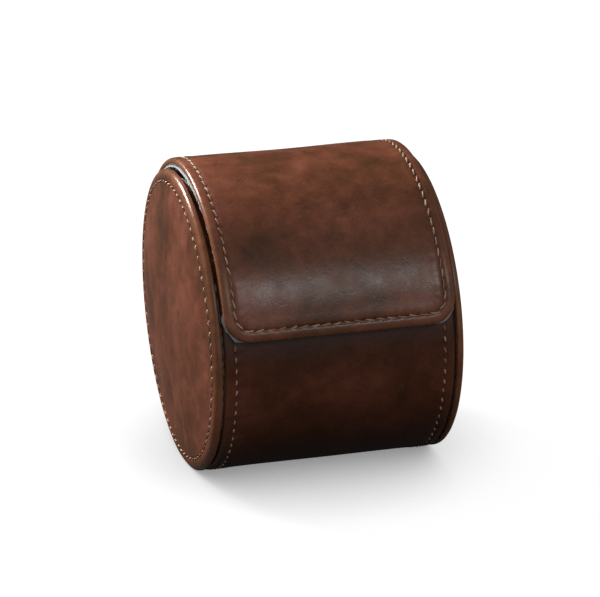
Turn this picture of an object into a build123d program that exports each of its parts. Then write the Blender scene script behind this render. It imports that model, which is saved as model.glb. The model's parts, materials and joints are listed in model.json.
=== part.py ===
"""A leather roll that keeps one wrist watch on a cushion.

A stiff strip, leather outside and suede inside, runs from the front panel under the roll,
up the back and over the top as a flap, and ends low on the front. Two padded discs close
the ends. The flap hinges where the strip leaves the back, and the cushion lifts out.

Millimetres. X runs along the roll, the flap opens at the front (-Y), Z is up. The origin is
on the flat that the roll stands on, under the middle of the oval.
"""
from build123d import *
from math import cos, sin, radians, degrees, sqrt, hypot
import os

os.makedirs("parts", exist_ok=True)

# The oval that the strip is bent to, seen from the end
oval_long_half = 45.7
oval_short_half = 41.1
oval_lean = 45.0
flat_depth = 0.9

# The strip
strip_width = 69.4
leather_thick = 1.1
board_thick = 1.1
suede_thick = 0.6
turned_edge = 1.2
glue_gap = 0.03
cut_margin = 1.0

# Directions from the oval's centre, in degrees from the back, up and over to the front
hinge_angle = 22.0
panel_top_angle = 142.0
flap_end_angle = 171.0

# The flap
flap_clearance = 0.3
flap_corner_radius = 6.5
panel_corner_radius = 3.0
hinge_lift = 1.0
hinge_fold_radius = 1.0
hinge_to_flap = 3.6
hinge_to_case = 2.5
hinge_clearance = 0.35
hinge_lip_inset = 0.4

# The hidden closing magnets
magnet_radius = 4.0
magnet_thick = 0.7
magnet_spacing = 40.0
magnet_angle = 156.0
magnet_clearance = 0.05

# The padded end discs
wall_board_thick = 2.2
disc_gap = 0.6
disc_rim_height = 2.2
disc_dome_height = 1.7
disc_rim_radius = 1.2
disc_back_radius = 0.4
disc_board_thick = 0.6
disc_foam_radius = 0.3

# The cushion
cushion_radius = 27.0
cushion_shoulder_radius = 24.5
cushion_end_radius = 19.5
cushion_end_depth = 5.0
cushion_end_round = 7.0
cushion_fabric = 1.0
cushion_cap_width = 4.0
cushion_end_clearance = 0.3

# Sizes that follow from these
half_width = strip_width / 2
case_wall = leather_thick + board_thick + suede_thick
flap_lining_in = flap_clearance
flap_board_in = flap_lining_in + suede_thick
flap_leather_in = flap_board_in + board_thick
flap_out = flap_leather_in + leather_thick
oval_mean = (oval_long_half + oval_short_half) / 2
oval_rise = sqrt(
    (oval_long_half * sin(radians(oval_lean))) ** 2
    + (oval_short_half * cos(radians(oval_lean))) ** 2
)
centre_height = oval_rise - flat_depth
reach = 2 * oval_long_half


def surface_radius(angle):
    """Distance from the oval's centre to its outline in one direction."""
    turn = radians(angle - oval_lean)
    return oval_long_half * oval_short_half / hypot(
        oval_short_half * cos(turn), oval_long_half * sin(turn)
    )


def point_at(angle, grow):
    """Point in the end view, a distance outside the outline in one direction."""
    radius = surface_radius(angle) + grow
    return (radius * cos(radians(angle)), centre_height + radius * sin(radians(angle)))


def facing_at(angle):
    """Direction square to the outline in the end view."""
    turn = radians(angle - oval_lean)
    along = cos(turn) / oval_long_half ** 2
    across = sin(turn) / oval_short_half ** 2
    lean = radians(oval_lean)
    return (along * cos(lean) - across * sin(lean), along * sin(lean) + across * cos(lean))


def angle_for(length):
    """Angle that a length takes up along the oval."""
    return degrees(length / oval_mean)


def oval(grow, flat=True, mode=Mode.ADD):
    """Fill the oval, grown by a distance, with the flat that the roll stands on."""
    with BuildSketch(Plane.YZ, mode=Mode.PRIVATE) as outline:
        with Locations((0, centre_height)):
            Ellipse(oval_long_half + grow, oval_short_half + grow, rotation=oval_lean)
        if flat:
            with Locations((0, -grow)):
                Rectangle(2 * reach, 2 * reach, align=(Align.CENTER, Align.MAX),
                          mode=Mode.SUBTRACT)
    add(outline.sketch_local, mode=mode)


def sector(first, last, mode=Mode.ADD):
    """Fill the wedge between two directions from the oval's centre."""
    steps = max(2, round((last - first) / 45))
    turns = [first + (last - first) * step / steps for step in range(steps + 1)]
    rim = [(reach * cos(radians(turn)), centre_height + reach * sin(radians(turn)))
           for turn in turns]
    Polygon((0, centre_height), *rim, align=None, mode=mode)


def strip_layer(inner, outer, first, last, inset, corner_radius, flat):
    """One layer of the strip between two offsets and two directions, its free end rounded."""
    edge = half_width - inset
    free_end, inward = (first, -1) if flat else (last, 1)
    with BuildPart(mode=Mode.PRIVATE) as layer:
        with BuildSketch(Plane.YZ):
            oval(outer, flat)
            oval(inner, flat, Mode.SUBTRACT)
            sector(first, last, Mode.INTERSECT)
        extrude(amount=edge, both=True)
        tip = point_at(free_end, (inner + outer) / 2)
        square_to_tip = (0, cos(radians(free_end)), sin(radians(free_end)))
        with BuildSketch(Plane(origin=(0, *tip), x_dir=(1, 0, 0), z_dir=square_to_tip)):
            with Locations((edge, 0), (-edge, 0)):
                Rectangle(2 * corner_radius, 2 * corner_radius)
            with Locations((edge - corner_radius, inward * corner_radius),
                           (corner_radius - edge, inward * corner_radius)):
                Circle(corner_radius, mode=Mode.SUBTRACT)
            with Locations((0, inward * corner_radius)):
                Rectangle(2 * (edge - corner_radius), 2 * corner_radius, mode=Mode.SUBTRACT)
        extrude(amount=2 * case_wall, both=True, mode=Mode.SUBTRACT)
    return layer.part


def case_layer(inner, outer, inset):
    """One layer of the fixed part of the strip: front panel, bottom and back."""
    trim = angle_for(inset)
    first = panel_top_angle + trim
    last = 360 + hinge_angle - angle_for(hinge_to_case)
    return strip_layer(inner, outer, first, last, inset, panel_corner_radius - inset, True)


def flap_layer(inner, outer, inset):
    """One layer of the flap, from the hinge over the top to its free edge."""
    first = hinge_angle + angle_for(hinge_to_flap)
    last = flap_end_angle - angle_for(inset)
    return strip_layer(inner, outer, first, last, inset, flap_corner_radius - inset, False)


def magnets_at(depth, radius, thickness):
    """The pair of flat magnets that lies at one depth in the strip."""
    spot = (0, *point_at(magnet_angle, depth))
    facing = (0, *facing_at(magnet_angle))
    with BuildPart(mode=Mode.PRIVATE) as pair:
        with BuildSketch(Plane(origin=spot, x_dir=(1, 0, 0), z_dir=facing)):
            with GridLocations(magnet_spacing, 0, 2, 1):
                Circle(radius)
        extrude(amount=thickness / 2, both=True)
    return pair.part


def finish(block, name):
    """Name a finished piece and write it out."""
    block.part.label = name
    export_step(block.part, f"parts/{name}.step")
    print(name, round(block.part.volume, 1), "mm3")


# The case's strip: leather turned over the board's edges, a board, and a suede lining
case_board_in = -leather_thick - board_thick
case_magnet_depth = -leather_thick - board_thick / 2
hinge_axis = point_at(hinge_angle, hinge_lift)
lip_root_angle = hinge_angle - angle_for(hinge_to_case + glue_gap)

with BuildPart() as case_leather:
    add(case_layer(case_board_in, 0, 0))
    add(case_layer(case_board_in - cut_margin, -leather_thick, turned_edge), mode=Mode.SUBTRACT)
    with BuildSketch(Plane.YZ):
        Polygon(
            point_at(lip_root_angle, -leather_thick),
            point_at(lip_root_angle, 0),
            (hinge_axis[0] - hinge_lip_inset, hinge_axis[1]),
            (hinge_axis[0] - hinge_lip_inset - leather_thick, hinge_axis[1]),
            align=None,
        )
        with Locations(hinge_axis):
            Circle(hinge_fold_radius + hinge_clearance, mode=Mode.SUBTRACT)
    extrude(amount=half_width, both=True)
finish(case_leather, "case_leather")

with BuildPart() as case_board:
    add(case_layer(case_board_in + glue_gap, -leather_thick - glue_gap, turned_edge + glue_gap))
    add(magnets_at(case_magnet_depth, magnet_radius + magnet_clearance, 2 * board_thick),
        mode=Mode.SUBTRACT)
finish(case_board, "case_board")

with BuildPart() as case_lining:
    add(case_layer(-case_wall, case_board_in - glue_gap, 0))
finish(case_lining, "case_lining")

with BuildPart() as case_magnets:
    add(magnets_at(case_magnet_depth, magnet_radius, magnet_thick))
finish(case_magnets, "case_magnets")

# The flap's layers lie one clearance outside the oval, over the panel's upper end
flap_magnet_depth = flap_board_in + board_thick / 2

with BuildPart() as flap_leather:
    add(flap_layer(flap_board_in, flap_out, 0))
    add(flap_layer(flap_board_in - cut_margin, flap_leather_in, turned_edge), mode=Mode.SUBTRACT)
finish(flap_leather, "flap_leather")

with BuildPart() as flap_board:
    add(flap_layer(flap_board_in + glue_gap, flap_leather_in - glue_gap,
                   turned_edge + glue_gap))
    add(magnets_at(flap_magnet_depth, magnet_radius + magnet_clearance, 2 * board_thick),
        mode=Mode.SUBTRACT)
finish(flap_board, "flap_board")

with BuildPart() as flap_lining:
    add(flap_layer(flap_lining_in, flap_board_in - glue_gap, 0))
finish(flap_lining, "flap_lining")

with BuildPart() as flap_magnets:
    add(magnets_at(flap_magnet_depth, magnet_radius, magnet_thick))
finish(flap_magnets, "flap_magnets")

# The leather that bends when the flap opens, rolled round the hinge line
flap_start_angle = hinge_angle + angle_for(hinge_to_flap)
fold_root = point_at(flap_start_angle, flap_leather_in + glue_gap)
fold_top = point_at(flap_start_angle, flap_out - glue_gap)

with BuildPart() as hinge_leather:
    with BuildSketch(Plane.YZ):
        with Locations(hinge_axis):
            Circle(hinge_fold_radius)
        Polygon(
            (hinge_axis[0] - leather_thick / 2, hinge_axis[1]),
            (hinge_axis[0] + leather_thick / 2, hinge_axis[1]),
            fold_top,
            fold_root,
            align=None,
        )
        sector(0, flap_start_angle - angle_for(glue_gap), Mode.INTERSECT)
    extrude(amount=half_width, both=True)
finish(hinge_leather, "hinge_leather")

# The end discs: a wall board inside the strip, lined with suede, and a padded leather cover
wall_outer_face = half_width + disc_gap - glue_gap
wall_inner_face = wall_outer_face - wall_board_thick
lining_inner_face = wall_inner_face - suede_thick
cover_back = half_width + disc_gap
cover_edge = cover_back + disc_rim_height
disc_board_face = cover_back + disc_board_thick


def end_slab(grow, near, far):
    """A flat oval slab at the left end, between two distances from the roll's middle."""
    with BuildPart(mode=Mode.PRIVATE) as slab:
        with BuildSketch(Plane.YZ.offset(-far)):
            oval(grow)
        extrude(amount=far - near)
    return slab.part


def end_dome(grow, rim_radius, back_radius):
    """The left cover's form: an oval disc with a domed face and a rounded rim."""
    dome_radius = (oval_mean ** 2 + disc_dome_height ** 2) / (2 * disc_dome_height)
    peak = cover_edge + disc_dome_height + grow
    with BuildPart(mode=Mode.PRIVATE) as dome:
        with BuildSketch(Plane.YZ.offset(-cover_back)):
            oval(grow, False)
        extrude(amount=-reach)
        with Locations((dome_radius - peak, 0, centre_height)):
            Sphere(dome_radius, mode=Mode.INTERSECT)
        rim = dome.faces().sort_by(Axis.X)[0].edges()
        fillet(rim, rim_radius)
        if back_radius:
            fillet(dome.faces().sort_by(Axis.X)[-1].edges(), back_radius)
        with Locations((0, 0, -grow)):
            Box(4 * reach, 4 * reach, 2 * reach, align=(Align.CENTER, Align.CENTER, Align.MAX),
                mode=Mode.SUBTRACT)
    return dome.part


def add_on_side(form, side, mode=Mode.ADD):
    """Add a form made for the left end, or its mirror image for the right end."""
    add(form if side == "left" else mirror(form, about=Plane.YZ, mode=Mode.PRIVATE), mode=mode)


wall_board_form = end_slab(-case_wall - glue_gap, wall_inner_face, wall_outer_face)
wall_lining_form = end_slab(-case_wall - glue_gap, lining_inner_face, wall_inner_face - glue_gap)
disc_board_form = end_slab(-leather_thick - glue_gap, cover_back, disc_board_face)
disc_outer_form = end_dome(0, disc_rim_radius, disc_back_radius)
disc_inner_form = end_dome(-leather_thick, disc_foam_radius, 0)
disc_foam_form = end_dome(-leather_thick - glue_gap, disc_foam_radius, 0)
disc_board_room = end_slab(0, cover_back - cut_margin, disc_board_face + glue_gap)

for side in ("left", "right"):
    with BuildPart() as wall_board:
        add_on_side(wall_board_form, side)
    finish(wall_board, f"{side}_wall_board")

    with BuildPart() as wall_lining:
        add_on_side(wall_lining_form, side)
    finish(wall_lining, f"{side}_wall_lining")

    with BuildPart() as disc_board:
        add_on_side(disc_board_form, side)
    finish(disc_board, f"{side}_disc_board")

    with BuildPart() as disc_leather:
        add_on_side(disc_outer_form, side)
        add_on_side(disc_inner_form, side, Mode.SUBTRACT)
    finish(disc_leather, f"{side}_disc_leather")

    with BuildPart() as disc_foam:
        add_on_side(disc_foam_form, side)
        add_on_side(disc_board_room, side, Mode.SUBTRACT)
    finish(disc_foam, f"{side}_disc_foam")

# The cushion: a crowned foam roll in a fabric cover, closed by a fabric cap at each end
cushion_half = lining_inner_face - cushion_end_clearance


def cushion_form(shrink):
    """A crowned roll about the X axis, drawn in and rounded at its ends."""
    half = cushion_half - shrink
    crown = cushion_radius - shrink
    shoulder = (half - cushion_end_depth, cushion_shoulder_radius - shrink)
    rim = (half, cushion_end_radius - shrink)
    with BuildPart(mode=Mode.PRIVATE) as roll:
        with BuildSketch(Plane.XZ):
            with BuildLine():
                ThreePointArc((-shoulder[0], shoulder[1]), (0, crown), shoulder)
                RadiusArc(shoulder, rim, cushion_end_round)
                Polyline(rim, (half, 0), (-half, 0), (-rim[0], rim[1]))
                RadiusArc((-rim[0], rim[1]), (-shoulder[0], shoulder[1]), cushion_end_round)
            make_face()
        revolve(axis=Axis.X)
    return roll.part.moved(Location((0, 0, centre_height)))


cushion_outer = cushion_form(0)
cushion_inner = cushion_form(cushion_fabric)
cap_seam = cushion_half - cushion_cap_width

with BuildPart() as cushion_core:
    add(cushion_form(cushion_fabric + glue_gap))
finish(cushion_core, "cushion_core")

with BuildPart() as cushion_cover:
    add(cushion_outer)
    add(cushion_inner, mode=Mode.SUBTRACT)
    with Locations((0, 0, centre_height)):
        Box(2 * (cap_seam - glue_gap), reach, reach, mode=Mode.INTERSECT)
finish(cushion_cover, "cushion_cover")

for side, end_sign in (("left", -1), ("right", 1)):
    with BuildPart() as cushion_cap:
        add(cushion_outer)
        add(cushion_inner, mode=Mode.SUBTRACT)
        with Locations((end_sign * (cap_seam + reach / 2), 0, centre_height)):
            Box(reach, reach, reach, mode=Mode.INTERSECT)
    finish(cushion_cap, f"cushion_{side}_cap")
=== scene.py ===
# %% [markdown]
# A leather roll for one wrist watch stands closed on a pale floor. One stiff strip makes its front,
# bottom, back and flap, and two padded discs close its ends.
#
# The shapes could be modelled by eye on top of the picture. Here they are worked out in millimetres
# from the same sizes as the solid model, so every piece lands where the maker would glue it.

# %% Load the packed model
import json
import math
import bmesh
import bpy
import numpy as np
from mathutils import Matrix, Vector
from mathutils.geometry import delaunay_2d_cdt


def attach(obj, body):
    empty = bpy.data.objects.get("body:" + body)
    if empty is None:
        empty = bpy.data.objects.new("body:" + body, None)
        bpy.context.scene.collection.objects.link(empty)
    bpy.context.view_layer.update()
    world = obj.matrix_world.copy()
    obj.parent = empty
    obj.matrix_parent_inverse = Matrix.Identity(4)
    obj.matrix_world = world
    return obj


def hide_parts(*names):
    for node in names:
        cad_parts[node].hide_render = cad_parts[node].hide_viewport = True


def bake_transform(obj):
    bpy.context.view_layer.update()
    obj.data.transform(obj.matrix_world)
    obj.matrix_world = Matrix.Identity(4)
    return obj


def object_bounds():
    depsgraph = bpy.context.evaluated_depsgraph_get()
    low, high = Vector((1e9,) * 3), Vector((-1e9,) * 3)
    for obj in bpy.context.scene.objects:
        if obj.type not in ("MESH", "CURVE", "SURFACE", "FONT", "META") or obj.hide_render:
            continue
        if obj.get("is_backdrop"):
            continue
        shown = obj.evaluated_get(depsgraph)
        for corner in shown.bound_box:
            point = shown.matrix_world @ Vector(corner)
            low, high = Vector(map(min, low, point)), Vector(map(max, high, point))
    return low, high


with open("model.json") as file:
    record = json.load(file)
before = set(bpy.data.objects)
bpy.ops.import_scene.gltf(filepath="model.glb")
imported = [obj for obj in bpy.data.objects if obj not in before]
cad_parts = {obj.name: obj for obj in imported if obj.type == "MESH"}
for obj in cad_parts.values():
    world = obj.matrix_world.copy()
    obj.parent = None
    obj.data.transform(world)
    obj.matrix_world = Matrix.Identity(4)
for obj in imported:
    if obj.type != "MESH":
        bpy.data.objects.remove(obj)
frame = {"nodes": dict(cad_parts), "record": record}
cad_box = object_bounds()
MM = 0.001

# %% [markdown]
# Seen from the end, the strip follows a slightly squashed circle: an oval that leans 45 degrees.
# It stands on a small flat where its own weight presses it.
#
# A picture of the oval could be traced. A formula is better, because the same call then gives the
# outline, a line inside it for the stitches, or a line outside it for the flap.

# %% The oval
OVAL_LONG = 45.7
OVAL_SHORT = 41.1
OVAL_LEAN = math.radians(45)
FLAT_DEPTH = 0.9
CENTRE_Z = math.hypot(OVAL_LONG * math.sin(OVAL_LEAN), OVAL_SHORT * math.cos(OVAL_LEAN)) - FLAT_DEPTH
FLOOR_SOFTNESS = 0.2


def oval_reach(turn, grow):
    """How far the outline lies from the oval's middle, grown by some millimetres."""
    lean = turn - OVAL_LEAN
    long_half, short_half = OVAL_LONG + grow, OVAL_SHORT + grow
    return long_half * short_half / np.hypot(short_half * np.cos(lean), long_half * np.sin(lean))


def rest_on(height, floor):
    """Lift whatever lies lower than a floor, with a soft corner where the flat begins."""
    return floor + FLOOR_SOFTNESS * np.logaddexp(0, (height - floor) / FLOOR_SOFTNESS)


def oval_point(turn, grow):
    """Depth and height of a point on the outline, turned from the back, up and over."""
    reach = oval_reach(turn, grow)
    return reach * np.cos(turn), rest_on(CENTRE_Z + reach * np.sin(turn), np.maximum(-grow, 0.0))


print("the oval's middle is", round(CENTRE_Z, 2), "mm above the floor")

# %% [markdown]
# The camera is a long lens, far enough away that the near and far discs look almost the same size.
#
# It could be dragged into place by hand. Its turn, tilt and distance come instead from a fit to the
# outline and the stitch lines, so the render can be laid over the photograph.

# %% The camera
VIEW_TURN = math.radians(-16.64)
VIEW_TILT = math.radians(19.18)
VIEW_DISTANCE = 0.999
LENS = 200.5
FILM_WIDTH = 36
AIM_RIGHT, AIM_UP = 0.39, 2.75

right = Vector((math.cos(VIEW_TURN), math.sin(VIEW_TURN), 0))
back = Vector((math.sin(VIEW_TURN) * math.cos(VIEW_TILT), -math.cos(VIEW_TURN) * math.cos(VIEW_TILT),
               math.sin(VIEW_TILT)))
up = back.cross(right)
aim = Vector((0, 0, CENTRE_Z * MM)) + right * AIM_RIGHT * MM + up * AIM_UP * MM

camera_data = bpy.data.cameras.new("photo_camera")
camera_data.lens = LENS
camera_data.sensor_width = FILM_WIDTH
camera_data.sensor_fit = "HORIZONTAL"
camera = bpy.data.objects.new("photo_camera", camera_data)
camera.matrix_world = Matrix.Translation(aim + back * VIEW_DISTANCE) @ Matrix((
    (right.x, up.x, back.x), (right.y, up.y, back.y), (right.z, up.z, back.z))).to_4x4()
bpy.context.collection.objects.link(camera)
bpy.context.scene.camera = camera
bpy.context.scene.view_settings.view_transform = "Standard"
print("camera at", [round(v, 3) for v in camera.location])

# %% [markdown]
# Every finish here, and the room's light too, is made from nodes. A few small helpers keep each recipe
# short: one adds a node and sets its sockets, one wires it, and one makes a ramp of colours.
#
# Writing each node out in full would work too, but the recipe of a finish would be lost in it.

# %% Helpers for finishes


class Finish:
    """A material, or the room, that is built node by node."""

    def __init__(self, name, room=False):
        self.made = (bpy.data.worlds if room else bpy.data.materials).new(name)
        self.made.use_nodes = True
        self.tree = self.made.node_tree
        self.tree.nodes.clear()
        self.output = self.tree.nodes.new("ShaderNodeOutputWorld" if room else "ShaderNodeOutputMaterial")

    def add(self, kind, settings=None, **sockets):
        """Add a node, set its settings, and fill its sockets with values or other nodes' outputs."""
        node = self.tree.nodes.new("ShaderNode" + kind)
        for key, value in (settings or {}).items():
            setattr(node, key, value)
        for key, value in sockets.items():
            self.fill(node, key.replace("_", " "), value)
        return node

    def fill(self, node, socket, value):
        """Set one socket, or wire it when the value is an output."""
        target = node.inputs[int(socket[1:])] if socket[1:].isdigit() else node.inputs[socket]
        if isinstance(value, bpy.types.NodeSocket):
            self.tree.links.new(value, target)
        else:
            target.default_value = value

    def ramp(self, amount, *stops):
        """Turn a grey value into a colour. Each stop is a place from 0 to 1 and a colour."""
        node = self.add("ValToRGB", Fac=amount)
        elements = node.color_ramp.elements
        while len(elements) < len(stops):
            elements.new(0.5)
        for element, (place, colour) in zip(elements, stops):
            element.position = place
            element.color = (*colour, 1)
        return node.outputs["Color"]

    def mix(self, amount, first, second, blend="MIX"):
        """Mix two colours."""
        node = self.add("Mix", {"data_type": "RGBA", "blend_type": blend})
        for slot, value in ((0, amount), (6, first), (7, second)):
            if isinstance(value, tuple):
                value = (*value, 1)
            self.fill(node, f"_{slot}", value)
        return node.outputs[2]

    def sum(self, operation, first, second):
        """One step of arithmetic."""
        return self.add("Math", {"operation": operation}, _0=first, _1=second).outputs[0]

    def done(self, shader):
        """Wire the shader to the surface, and hand over what was made."""
        self.tree.links.new(shader, self.output.inputs["Surface"])
        return self.made


print("a finish can:", ", ".join(step for step in vars(Finish) if not step.startswith("_")))

# %% [markdown]
# The floor is plain and white, and it keeps a soft shadow under the roll. A white floor in a real
# studio also throws light up at the object, which would grey the dark front panel.
#
# More lamps could make the floor white, but they would bleach the leather. Light Path is better: a
# ray from the camera finds a white floor, and a ray that carries light finds a darker one. The white
# is dimmed where something stands close over it, which gives the soft shadow at the contact.

# %% The floor
FLOOR_GLOW = 0.97
FLOOR_CATCHES = 0.10
FLOOR_BOUNCE = 0.03
MIRRORED_WHITE = 0.04
CONTACT_REACH = 0.045
CONTACT_DARK = 0.25
OPEN_FROM = 0.85
FLOOR_RADIUS = 6

floor_mesh = bpy.data.meshes.new("floor")
floor_form = bmesh.new()
bmesh.ops.create_circle(floor_form, cap_ends=True, radius=FLOOR_RADIUS, segments=64)
floor_form.to_mesh(floor_mesh)
floor_form.free()
floor = bpy.data.objects.new("floor", floor_mesh)
bpy.context.collection.objects.link(floor)
floor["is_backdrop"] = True

paint = Finish("white_floor")
ray = paint.add("LightPath")
seen = paint.sum("MAXIMUM", ray.outputs["Is Camera Ray"], ray.outputs["Is Transmission Ray"])
mirrored = paint.sum("MULTIPLY", ray.outputs["Is Glossy Ray"], MIRRORED_WHITE)
seen = paint.sum("MAXIMUM", seen, mirrored)
open_sky = paint.add("AmbientOcclusion", {"samples": 12}, Distance=CONTACT_REACH).outputs["AO"]
open_sky = paint.add("MapRange", Value=open_sky, From_Min=0.0, From_Max=OPEN_FROM,
                     To_Min=CONTACT_DARK * FLOOR_GLOW, To_Max=FLOOR_GLOW).outputs[0]
glow = paint.add("Emission", Color=(1, 1, 1, 1), Strength=open_sky)
catches = paint.add("BsdfDiffuse", Color=(FLOOR_CATCHES, FLOOR_CATCHES, FLOOR_CATCHES, 1))
bright = paint.add("AddShader", _0=glow.outputs[0], _1=catches.outputs[0])
bounce = paint.add("BsdfDiffuse", Color=(FLOOR_BOUNCE, FLOOR_BOUNCE, FLOOR_BOUNCE, 1))
floor_shader = paint.add("MixShader", _0=seen, _1=bounce.outputs[0], _2=bright.outputs[0])
floor_mesh.materials.append(paint.done(floor_shader.outputs[0]))
print("floor:", len(floor_mesh.vertices), "corners")

# %% [markdown]
# The photograph's main light is a soft box on the left and behind. It lights the top and the left
# disc, draws a bright line along every rolled edge, and leaves the front dark. A weak box in front
# makes the dull band across the flap.
#
# A sky picture could light it too, but two boxes are easier to read and to move. Each is given by the
# way to it from the middle of the roll, its distance, its width and its power.

# %% The lamps
SOFT_BOXES = {
    "box_left": ((-0.50, 0.65, 0.57), 0.90, 0.30, 14.0),
    "box_front": ((0.27, -0.74, 0.62), 1.30, 0.20, 1.6),
}

for name, (direction, distance, width, power) in SOFT_BOXES.items():
    lamp_data = bpy.data.lights.new(name, "AREA")
    lamp_data.shape = "SQUARE"
    lamp_data.size = width
    lamp_data.energy = power
    lamp = bpy.data.objects.new(name, lamp_data)
    towards = Vector(direction).normalized()
    lamp.location = Vector((0, 0, CENTRE_Z * MM)) + towards * distance
    lamp.rotation_euler = towards.to_track_quat("Z", "Y").to_euler()
    bpy.context.collection.objects.link(lamp)
print("soft boxes:", ", ".join(SOFT_BOXES))

# %% [markdown]
# The room gives the rest of the light. It is dim in front and dark behind, so the front panel isn't
# quite black, and the camera sees it white like the floor.
#
# One grey level all round would be simpler, but it lays a veil over the back, where leather is seen at
# a low angle. So the level fades from front to back, along the room's own Y.

# %% The room
ROOM_LEVEL = 0.45

room = Finish("studio", room=True)
bpy.context.scene.world = room.made
ray = room.add("LightPath")
seen = room.sum("MAXIMUM", ray.outputs["Is Camera Ray"], ray.outputs["Is Transmission Ray"])
seen = room.add("Math", {"operation": "MULTIPLY_ADD"}, _0=ray.outputs["Is Glossy Ray"], _1=MIRRORED_WHITE,
                _2=seen).outputs[0]
way = room.add("SeparateXYZ", _0=room.add("TexCoord").outputs["Generated"])
fade = room.add("Math", {"operation": "MULTIPLY_ADD"}, _0=way.outputs["Y"], _1=-ROOM_LEVEL / 2,
                _2=ROOM_LEVEL / 2).outputs[0]
dim = room.add("Background", Color=(1, 1, 1, 1), Strength=fade)
white = room.add("Background", Color=(1, 1, 1, 1), Strength=1)
room.done(room.add("MixShader", _0=seen, _1=dim.outputs[0], _2=white.outputs[0]).outputs[0])
print("room:", ROOM_LEVEL, "in front, 0 behind")

# %% [markdown]
# The leather is pull-up leather: waxed hide that shows soft clouds of dark and reddish brown. Its
# folded edges are rubbed lighter and shinier, with a painted highlight in that pale colour, and painted
# shade darkens the stitch groove and the front panel. Where each lies is marked on each mesh, further on.
#
# A photograph of hide could be mapped on. Layers of noise at three sizes do it from any side and on
# every piece alike: clouds of 20 mm, smudges of 5 mm and grain well under a millimetre.

# %% Leather
HIDE_DARK = (0.098, 0.034, 0.0125)
HIDE_MIDDLE = (0.160, 0.050, 0.0215)
HIDE_LIGHT = (0.235, 0.074, 0.039)
# Rubbed edges: worn paler, and this pale colour also paints a highlight on the roll.
HIDE_RUBBED_HIGHLIGHT = (0.360, 0.150, 0.068)
# Painted shade in the stitch groove and on the front panel, which is also darker overall.
HIDE_SHADE_AND_DARK = (0.040, 0.012, 0.006)
CLOUD_SCALE, SMUDGE_SCALE, GRAIN_SCALE = 46.0, 210.0, 1500.0
SMUDGE_SHOWS, GRAIN_SHOWS = 0.20, 0.22
SHINIEST, DULLEST = 0.26, 0.36
WORN_HIGHLIGHT_SHOWS, RUBBED_SHINE = 0.45, 0.06

hide = Finish("leather")
place = hide.add("TexCoord").outputs["Object"]
clouds = hide.add("TexNoise", Vector=place, Scale=CLOUD_SCALE, Detail=4.0, Roughness=0.6,
                  Distortion=0.3)
smudges = hide.add("TexNoise", Vector=place, Scale=SMUDGE_SCALE, Detail=3.0, Roughness=0.6)
grain = hide.add("TexNoise", Vector=place, Scale=GRAIN_SCALE, Detail=4.0, Roughness=0.70)
pores = hide.add("TexVoronoi", {"feature": "F1"}, Vector=place, Scale=GRAIN_SCALE)
cloud_colour = hide.ramp(clouds.outputs["Fac"], (0.35, HIDE_DARK), (0.50, HIDE_MIDDLE),
                         (0.65, HIDE_LIGHT))


def spread(noise, least, most):
    """The middle of a noise, spread from one value to another."""
    return hide.add("MapRange", Value=noise.outputs["Fac"], From_Min=0.3, From_Max=0.7,
                    To_Min=least, To_Max=most).outputs[0]


smudge_amount = spread(smudges, 1 - SMUDGE_SHOWS, 1 + SMUDGE_SHOWS)
grain_amount = spread(grain, 1 - GRAIN_SHOWS, 1 + GRAIN_SHOWS)
shade = hide.sum("MULTIPLY", smudge_amount, grain_amount)
shade_colour = hide.add("CombineColor", Red=shade, Green=shade, Blue=shade).outputs[0]
hide_colour = hide.mix(1.0, cloud_colour, shade_colour, "MULTIPLY")
# The two marks: rubbed edges, which also carry a painted highlight, and painted shade.
rubbed = hide.add("Attribute", {"attribute_name": "rubbed"}).outputs["Fac"]
waxed = hide.add("Attribute", {"attribute_name": "waxed"}).outputs["Fac"]
rubbed_here = hide.sum("MULTIPLY", rubbed, smudge_amount)
hide_colour = hide.mix(hide.sum("MULTIPLY", rubbed_here, WORN_HIGHLIGHT_SHOWS), hide_colour, HIDE_RUBBED_HIGHLIGHT)
hide_colour = hide.mix(waxed, hide_colour, HIDE_SHADE_AND_DARK)
dullness = spread(smudges, SHINIEST, DULLEST)
dullness = hide.sum("SUBTRACT", dullness, hide.sum("MULTIPLY", rubbed, RUBBED_SHINE))
pits = hide.sum("ADD", hide.sum("MULTIPLY", pores.outputs["Distance"], 0.5), grain.outputs["Fac"])
fine_bump = hide.add("Bump", Height=pits, Strength=0.35, Distance=0.00006)
soft_bump = hide.add("Bump", Height=smudges.outputs["Fac"], Strength=0.30, Distance=0.0003,
                     Normal=fine_bump.outputs[0])
hide_shader = hide.add("BsdfPrincipled", Base_Color=hide_colour, Roughness=dullness,
                       Normal=soft_bump.outputs[0])
hide_shader.inputs["Specular IOR Level"].default_value = 0.35
leather = hide.done(hide_shader.outputs[0])
print("leather:", len(hide.tree.nodes), "nodes")

# %% [markdown]
# Suede is the flesh side of the hide, brushed up into a short nap. It has no gloss, and it looks
# paler where the nap turns away. The lining is a cool light grey, the cushion a little darker.
#
# Real hairs would cost far too much here. Noise of about a third of a millimetre and a little sheen
# read the same at this distance.

# %% Suede
SUEDE_SHEEN = 0.25


def suede_finish(name, deep, pale):
    """A matt napped finish between two close colours."""
    nap = Finish(name)
    where = nap.add("TexCoord").outputs["Object"]
    fibres = nap.add("TexNoise", Vector=where, Scale=2600.0, Detail=4.0, Roughness=0.7)
    brushed = nap.add("TexNoise", Vector=where, Scale=110.0, Detail=4.0, Roughness=0.6)
    blend = nap.sum("ADD", nap.sum("MULTIPLY", fibres.outputs["Fac"], 0.5),
                    nap.sum("MULTIPLY", brushed.outputs["Fac"], 0.5))
    colour = nap.ramp(blend, (0.38, deep), (0.62, pale))
    bump = nap.add("Bump", Height=fibres.outputs["Fac"], Strength=0.6, Distance=0.00015)
    shader = nap.add("BsdfPrincipled", Base_Color=colour, Normal=bump.outputs[0])
    shader.inputs["Roughness"].default_value = 0.95
    shader.inputs["Specular IOR Level"].default_value = 0.15
    shader.inputs["Sheen Weight"].default_value = SUEDE_SHEEN
    shader.inputs["Sheen Roughness"].default_value = 0.4
    return nap.done(shader.outputs[0])


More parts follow.
